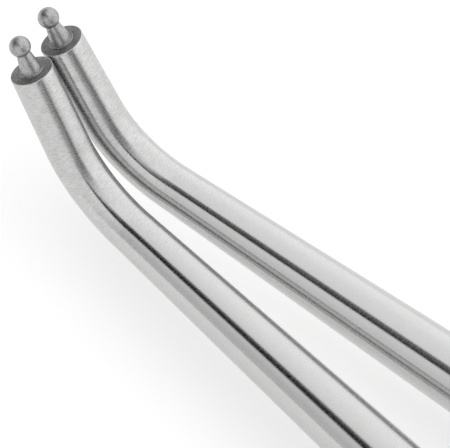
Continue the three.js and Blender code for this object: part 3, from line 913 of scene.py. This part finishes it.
def make_lever(name, side, body, materials):
    """Nose, shank, joint half and tang of one lever; its handle is on the other side."""
    handle = -side
    _, face, outward, _, _ = bar_line(side)
    upper = side < 0
    above = BODY_HEIGHT + OVERCUT
    if upper:
        lap = (MID_HEIGHT + LAP_GAP / 2, BODY_HEIGHT)
        space = (-OVERCUT, MID_HEIGHT + LAP_GAP / 2)
        recess_size = (RECESS_RADIUS, RECESS_FLOOR, above)
    else:
        lap = (0, MID_HEIGHT - LAP_GAP / 2)
        space = (MID_HEIGHT - LAP_GAP / 2, above)
        recess_size = (BOLT_HEAD_RADIUS + LOOSE_CLEARANCE, -OVERCUT, BOLT_HEAD_HEIGHT + RUNNING_CLEARANCE)
    piece = new_object(bar_mesh(f"{name}_forging", side))
    for material in materials:
        piece.data.materials.append(material)
    joint = [shoulder_mesh("front_shoulder", side, 1), shoulder_mesh("back_shoulder", handle, -1),
             tang_mesh("tang", handle)]
    plate = turned_mesh("plate", plate_profile(*lap), ORIGIN, Z, DISC_SEGMENTS)
    for mesh in [*joint, plate]:
        mark_material(mesh, materials, 2)
    combine(piece, "UNION", *joint)
    lap_space = rod_mesh("lap_space", ORIGIN, Z, DISC_RADIUS + DISC_CLEARANCE, *space, DISC_SEGMENTS)
    combine(piece, "DIFFERENCE", lap_space)
    combine(piece, "UNION", plate)
    axle = rod_mesh("axle", ORIGIN, Z, BOLT_RADIUS + RUNNING_CLEARANCE, -OVERCUT, above)
    recess = rod_mesh("recess", ORIGIN, Z, *recess_size, FINE_SEGMENTS)
    place = face - outward * SET_SCREW_PLACE
    cross = rod_mesh("cross", place, set_screw_axis(outward), SET_SCREW_RADIUS + CLOSE_CLEARANCE, 0,
                     SET_SCREW_HOLE_REACH, HOLE_SEGMENTS)
    combine(piece, "DIFFERENCE", axle, recess, stop_cut(handle), cross)
    finish_piece(piece, body, "satin_steel", [], name)


def mark_material(mesh, materials, index):
    for material in materials:
        mesh.materials.append(material)
    mesh.polygons.foreach_set("material_index", [index] * len(mesh.polygons))


# ---- small parts --------------------------------------------------------------------------------

def pin_profile():
    neck_height = BALL_HEIGHT - math.sqrt(BALL_RADIUS ** 2 - NECK_RADIUS ** 2)
    start = math.asin(NECK_RADIUS / BALL_RADIUS)
    steps = 40
    ball = [(BALL_RADIUS * math.sin(a), BALL_HEIGHT - BALL_RADIUS * math.cos(a))
            for a in (lerp(start, math.pi, i / steps) for i in range(steps))]
    seat = CLOSE_CLEARANCE / 2
    top = seat + COLLAR_HEIGHT
    collar = [(COLLAR_RADIUS, seat), (COLLAR_RADIUS, top - COLLAR_EDGE), (COLLAR_RADIUS - COLLAR_EDGE, top)]
    fillet_steps = 8
    fillet = [(CONE_RADIUS + FOOT_FILLET * (1 - math.sin(a)), top + FOOT_FILLET * (1 - math.cos(a)))
              for a in (math.pi / 2 * i / fillet_steps for i in range(fillet_steps + 1))]
    cone_steps = 8
    cone = [(lerp(CONE_RADIUS, NECK_RADIUS, i / cone_steps),
             lerp(top + FOOT_FILLET, neck_height, i / cone_steps)) for i in range(1, cone_steps)]
    shank = [(0, -PIN_DEPTH), (PIN_RADIUS, -PIN_DEPTH), (PIN_RADIUS, seat)]
    return [*shank, *collar, *fillet, *cone, *ball, (0, BALL_HEIGHT + BALL_RADIUS)]


def make_tip(side, word, body, pin_materials, screw_material):
    _, face, outward, _, _ = bar_line(side)
    pin = new_object(turned_mesh(f"tip_{word}_ball_pin", pin_profile(), face, outward, FINE_SEGMENTS))
    # The collar's flat top and the foot of its fillet take the dark ground steel of the nose ends: a ground
    # finish that also stands in as painted shade in the crease at the pin's foot.
    for polygon in pin.data.polygons:
        height = (polygon.center / MM - face).dot(outward)
        if height < 2 * COLLAR_HEIGHT and polygon.normal.dot(outward) > 0.9:
            polygon.material_index = 1
    finish_piece(pin, body, "pin_steel", pin_materials, f"tip_pin_{word}")
    axis = set_screw_axis(outward)
    place = face - outward * SET_SCREW_PLACE
    radius = SET_SCREW_RADIUS - CLOSE_CLEARANCE
    profile = [(0, SET_SCREW_BOTTOM), (radius - SET_SCREW_POINT, SET_SCREW_BOTTOM),
               (radius, SET_SCREW_BOTTOM + SET_SCREW_POINT), (radius, SET_SCREW_TOP - SET_SCREW_RIM),
               (radius - SET_SCREW_RIM, SET_SCREW_TOP), (0, SET_SCREW_TOP)]
    screw = new_object(turned_mesh(f"tip_{word}_grub_screw", profile, place, axis, SMALL_SEGMENTS))
    slot = box_mesh("slot", SET_SCREW_SLOT, place + axis * SET_SCREW_TOP, Z.rotation_difference(axis))
    combine(screw, "DIFFERENCE", slot)
    finish_piece(screw, body, "screw_steel", [screw_material], f"tip_set_screw_{word}")


def make_pivot(steel, spring, shim_material):
    """The bolt, nut, disc spring and shim that hold the two joint halves together."""
    step = RECESS_FLOOR - LOOSE_CLEARANCE
    bolt = new_object(turned_mesh("pivot_bolt_turned", [
        (0, 0), (BOLT_HEAD_RADIUS - SCREW_CHAMFER, 0), (BOLT_HEAD_RADIUS, SCREW_CHAMFER),
        (BOLT_HEAD_RADIUS, BOLT_HEAD_HEIGHT), (BOLT_RADIUS, BOLT_HEAD_HEIGHT), (BOLT_RADIUS, step),
        (THREAD_RADIUS, step), (THREAD_RADIUS, THREAD_TOP - SCREW_CHAMFER),
        (THREAD_RADIUS - SCREW_CHAMFER, THREAD_TOP), (0, THREAD_TOP)], ORIGIN, Z, FINE_SEGMENTS))
    finish_piece(bolt, "lower_half", "screw_steel", [steel], "pivot_bolt")
    bore = THREAD_RADIUS + RUNNING_CLEARANCE
    nut = new_object(turned_mesh("pivot_nut_slotted", [
        (bore, NUT_BOTTOM), (NUT_RADIUS, NUT_BOTTOM), (NUT_RADIUS, NUT_TOP - SCREW_CHAMFER),
        (NUT_RADIUS - NUT_RIM, NUT_TOP - NUT_RIM), (NUT_RADIUS - SCREW_CHAMFER, NUT_TOP),
        (bore + NUT_BORE_CHAMFER, NUT_TOP), (bore, NUT_TOP - NUT_BORE_CHAMFER), (bore, NUT_BOTTOM)],
        ORIGIN, Z, FINE_SEGMENTS))
    slot_size = (2 * NUT_RADIUS + OVERCUT, NUT_SLOT_WIDTH, NUT_SLOT_HEIGHT)
    combine(nut, "DIFFERENCE", box_mesh("slot", slot_size, Vector((0, 0, NUT_TOP))))
    bevel(nut, NUT_BEVEL)
    finish_piece(nut, "lower_half", "screw_steel", [steel], "pivot_nut")
    bottom = RECESS_FLOOR + CLOSE_CLEARANCE
    inner = THREAD_RADIUS + LOOSE_CLEARANCE
    outer = RECESS_RADIUS - SPRING_SPARE
    cone = new_object(turned_mesh("pivot_disc_spring", [
        (inner, bottom + SPRING_RISE), (outer, bottom), (outer, bottom + SPRING_THICKNESS),
        (inner, bottom + (SPRING_RISE + SPRING_THICKNESS)), (inner, bottom + SPRING_RISE)],
        ORIGIN, Z, FINE_SEGMENTS))
    finish_piece(cone, "lower_half", "spring_steel", [spring], "disc_spring")
    shim_inner = BOLT_RADIUS + LOOSE_CLEARANCE
    low = MID_HEIGHT - SHIM_HALF_THICKNESS
    high = MID_HEIGHT + SHIM_HALF_THICKNESS
    shim = new_object(turned_mesh("joint_bronze_shim", [
        (shim_inner, low), (SHIM_RADIUS, low), (SHIM_RADIUS, high), (shim_inner, high), (shim_inner, low)],
        ORIGIN, Z, FINE_SEGMENTS))
    finish_piece(shim, "lower_half", "bronze", [shim_material], "joint_shim")


def make_stop(steel):
    """The stop screw with its lock nut, and the hard button that it meets."""
    centre = Vector((0, STOP_Y, MID_HEIGHT))
    dome_steps = 8
    dome = [(STOP_RADIUS * math.cos(a), STOP_INNER_END - STOP_DOME + STOP_DOME * math.sin(a))
            for a in (math.pi / 2 * i / dome_steps for i in range(1, dome_steps))]
    screw = new_object(turned_mesh("stop_screw_slotted", [
        (0, STOP_OUTER_END), (STOP_RADIUS - SCREW_CHAMFER, STOP_OUTER_END),
        (STOP_RADIUS, STOP_OUTER_END + SCREW_CHAMFER), (STOP_RADIUS, STOP_INNER_END - STOP_DOME), *dome,
        (0, STOP_INNER_END)], centre, X, SMALL_SEGMENTS))
    slot = box_mesh("slot", STOP_SLOT, Vector((STOP_OUTER_END, STOP_Y, MID_HEIGHT)))
    combine(screw, "DIFFERENCE", slot)
    finish_piece(screw, "stop", "screw_steel", [steel], "stop_screw")
    near = -STOP_SEAT_X + CLOSE_CLEARANCE
    nut = new_object(rod_mesh("stop_hex_nut", centre, X, LOCK_NUT_RADIUS, near, near + LOCK_NUT_HEIGHT,
                              LOCK_NUT_SIDES))
    hole = rod_mesh("thread", centre, X, STOP_RADIUS + RUNNING_CLEARANCE, -LOCK_NUT_HOLE_REACH,
                    LOCK_NUT_HOLE_REACH, SMALL_SEGMENTS)
    combine(nut, "DIFFERENCE", hole)
    bevel(nut, LOCK_NUT_BEVEL)
    finish_piece(nut, "lower_half", "screw_steel", [steel], "stop_lock_nut")
    back = STOP_SEAT_X - CLOSE_CLEARANCE
    end = back + BUTTON_DEPTH - LOOSE_CLEARANCE
    button = new_object(turned_mesh("stop_hard_button", [
        (0, BUTTON_FACE), (BUTTON_RADIUS - SCREW_CHAMFER, BUTTON_FACE),
        (BUTTON_RADIUS, BUTTON_FACE + SCREW_CHAMFER), (BUTTON_RADIUS, back),
        (BUTTON_SHANK_RADIUS, back), (BUTTON_SHANK_RADIUS, end), (0, end)], centre, X, SMALL_SEGMENTS))
    finish_piece(button, "upper_half", "screw_steel", [steel], "stop_button")


# ---- studio -------------------------------------------------------------------------------------

def make_camera():
    back = Vector((math.sin(CAMERA_AZIMUTH) * math.cos(CAMERA_ELEVATION),
                   -math.cos(CAMERA_AZIMUTH) * math.cos(CAMERA_ELEVATION), math.sin(CAMERA_ELEVATION)))
    level = Vector((math.cos(CAMERA_AZIMUTH), math.sin(CAMERA_AZIMUTH), 0))
    right = Quaternion(back, CAMERA_ROLL) @ level
    up = back.cross(right)
    data = bpy.data.cameras.new("camera")
    data.lens = CAMERA_LENS
    data.sensor_width = CAMERA_SENSOR
    data.clip_end = CAMERA_CLIP_METRES
    camera = bpy.data.objects.new("camera", data)
    bpy.context.scene.collection.objects.link(camera)
    place = (CAMERA_AIM + back * CAMERA_DISTANCE) * MM
    camera.matrix_world = Matrix.Translation(place) @ Matrix((right, up, back)).transposed().to_4x4()
    bpy.context.scene.camera = camera


def make_floor():
    """A plain pale table, evenly lit from within like a light table."""
    n = Nodes("pale_floor")
    n.value("Base Color", (*grey(FLOOR_TINT), 1))
    n.value("Roughness", 0.9)
    n.value("Specular IOR Level", 0.0)
    n.value("Emission Color", (1, 1, 1, 1))
    n.value("Emission Strength", FLOOR_GLOW)
    floor = new_object(box_mesh("floor", FLOOR_SIZE, FLOOR_CENTRE))
    floor.data.materials.append(n.material)


def make_light():
    """A pale tent, brightest to the right, with a narrow dark gap over it and dark patches at its ends.

    The camera sees the tent as plain white; only what the pieces reflect shows its shape.
    """
    world = bpy.data.worlds.new("tent")
    bpy.context.scene.world = world
    world.use_nodes = True
    tree = world.node_tree
    tree.nodes.clear()

    def add(kind, **settings):
        node = tree.nodes.new("ShaderNode" + kind)
        for key, value in settings.items():
            setattr(node, key, value)
        return node

    def math_node(operation, *values):
        node = add("Math", operation=operation)
        for socket, value in zip(node.inputs, values):
            if hasattr(value, "is_output"):
                tree.links.new(value, socket)
            else:
                socket.default_value = value
        return node.outputs["Value"]

    def between(value, low, high, out_low, out_high):
        node = add("MapRange", interpolation_type="SMOOTHSTEP")
        limits = {"From Min": low, "From Max": high, "To Min": out_low, "To Max": out_high}
        for name, number in limits.items():
            node.inputs[name].default_value = number
        tree.links.new(value, node.inputs["Value"])
        return node.outputs["Result"]

    split = add("SeparateXYZ")
    tree.links.new(add("TexCoord").outputs["Generated"], split.inputs["Vector"])
    x, y, z = (split.outputs[name] for name in "XYZ")
    angle = math_node("ARCTAN2", x, z)
    right = between(angle, *RIGHT_ANGLES, TENT_TOP, TENT_RIGHT)
    left = between(angle, *LEFT_ANGLES, TENT_LEFT / TENT_TOP, 1.0)
    skirt = math_node("MAXIMUM", between(z, *SKIRT_HEIGHTS, SKIRT_LEVEL, 1.0),
                      between(x, *SKIRT_SIDES, 0.0, 1.0))
    tent = math_node("MULTIPLY", math_node("MULTIPLY", right, left), skirt)

    swing = math_node("MULTIPLY", math_node("MINIMUM", y, 0.0), GAP_SWING)
    middle = math_node("ADD", swing, GAP_ANGLE)
    offset = math_node("ABSOLUTE", math_node("SUBTRACT", angle, middle))
    nearness = math_node("DIVIDE", offset, between(y, *GAP_ALONG, *GAP_HALF_WIDTHS))
    gap = between(nearness, *GAP_EDGE, 0.0, 1.0)

    def wall(azimuth, narrow, wide, low, high, depth):
        """A soft dark patch low on the tent in one direction."""
        east, north = azimuth
        side = math_node("SUBTRACT", math_node("MULTIPLY", x, north), math_node("MULTIPLY", y, east))
        toward = math_node("ADD", math_node("MULTIPLY", x, east), math_node("MULTIPLY", y, north))
        edge = between(math_node("ABSOLUTE", side), narrow, wide, depth, 0.0)
        return math_node("MULTIPLY", edge, between(toward, low, high, 0.0, 1.0))

    behind = wall(BACK_AZIMUTH, *BACK_PATCH)
    ahead = wall(FRONT_AZIMUTH, *FRONT_PATCH)
    ends = math_node("SUBTRACT", 1.0, math_node("MAXIMUM", behind, ahead))
    level = math_node("MULTIPLY", math_node("MULTIPLY", tent, gap), ends)
    background = add("Background")
    tree.links.new(level, background.inputs["Strength"])
    seen = add("Background")
    seen.inputs["Color"].default_value = (1, 1, 1, 1)
    seen.inputs["Strength"].default_value = 1.0
    mix = add("MixShader")
    tree.links.new(add("LightPath").outputs["Is Camera Ray"], mix.inputs[0])
    tree.links.new(background.outputs[0], mix.inputs[1])
    tree.links.new(seen.outputs[0], mix.inputs[2])
    tree.links.new(mix.outputs[0], add("OutputWorld").inputs["Surface"])
    bpy.context.scene.view_settings.view_transform = "Standard"


# ---- assembly -----------------------------------------------------------------------------------

make_camera()
make_floor()
make_light()

steels = [brushed_round_steel(), ground_face_steel(), brushed_flat_steel()]
make_lever("upper_lever", -1, "upper_half", steels)
make_lever("lower_lever", 1, "lower_half", steels)
pins = [pin_steel(), steels[1]]
screw = turned_steel("turned_screw_steel", 0.5, 0.68, 0.3, (0, 0, 0), (1, 1, 0))
cross_screw = turned_steel("cross_screw_steel", 0.5, 0.68, 0.32, (0, STOP_Y, MID_HEIGHT), (0, 1, 1))
make_tip(-1, "left", "upper_half", pins, screw)
make_tip(1, "right", "lower_half", pins, screw)
make_pivot(screw, turned_steel("tempered_spring_steel", 0.3, 0.42, 0.25, (0, 0, 0), (1, 1, 0)), bronze())
make_stop(cross_screw)
shell = moulded_shell()
soft = soft_pad()
make_grip(-1, "left", "lower_half", shell, soft)
make_grip(1, "right", "upper_half", shell, soft)
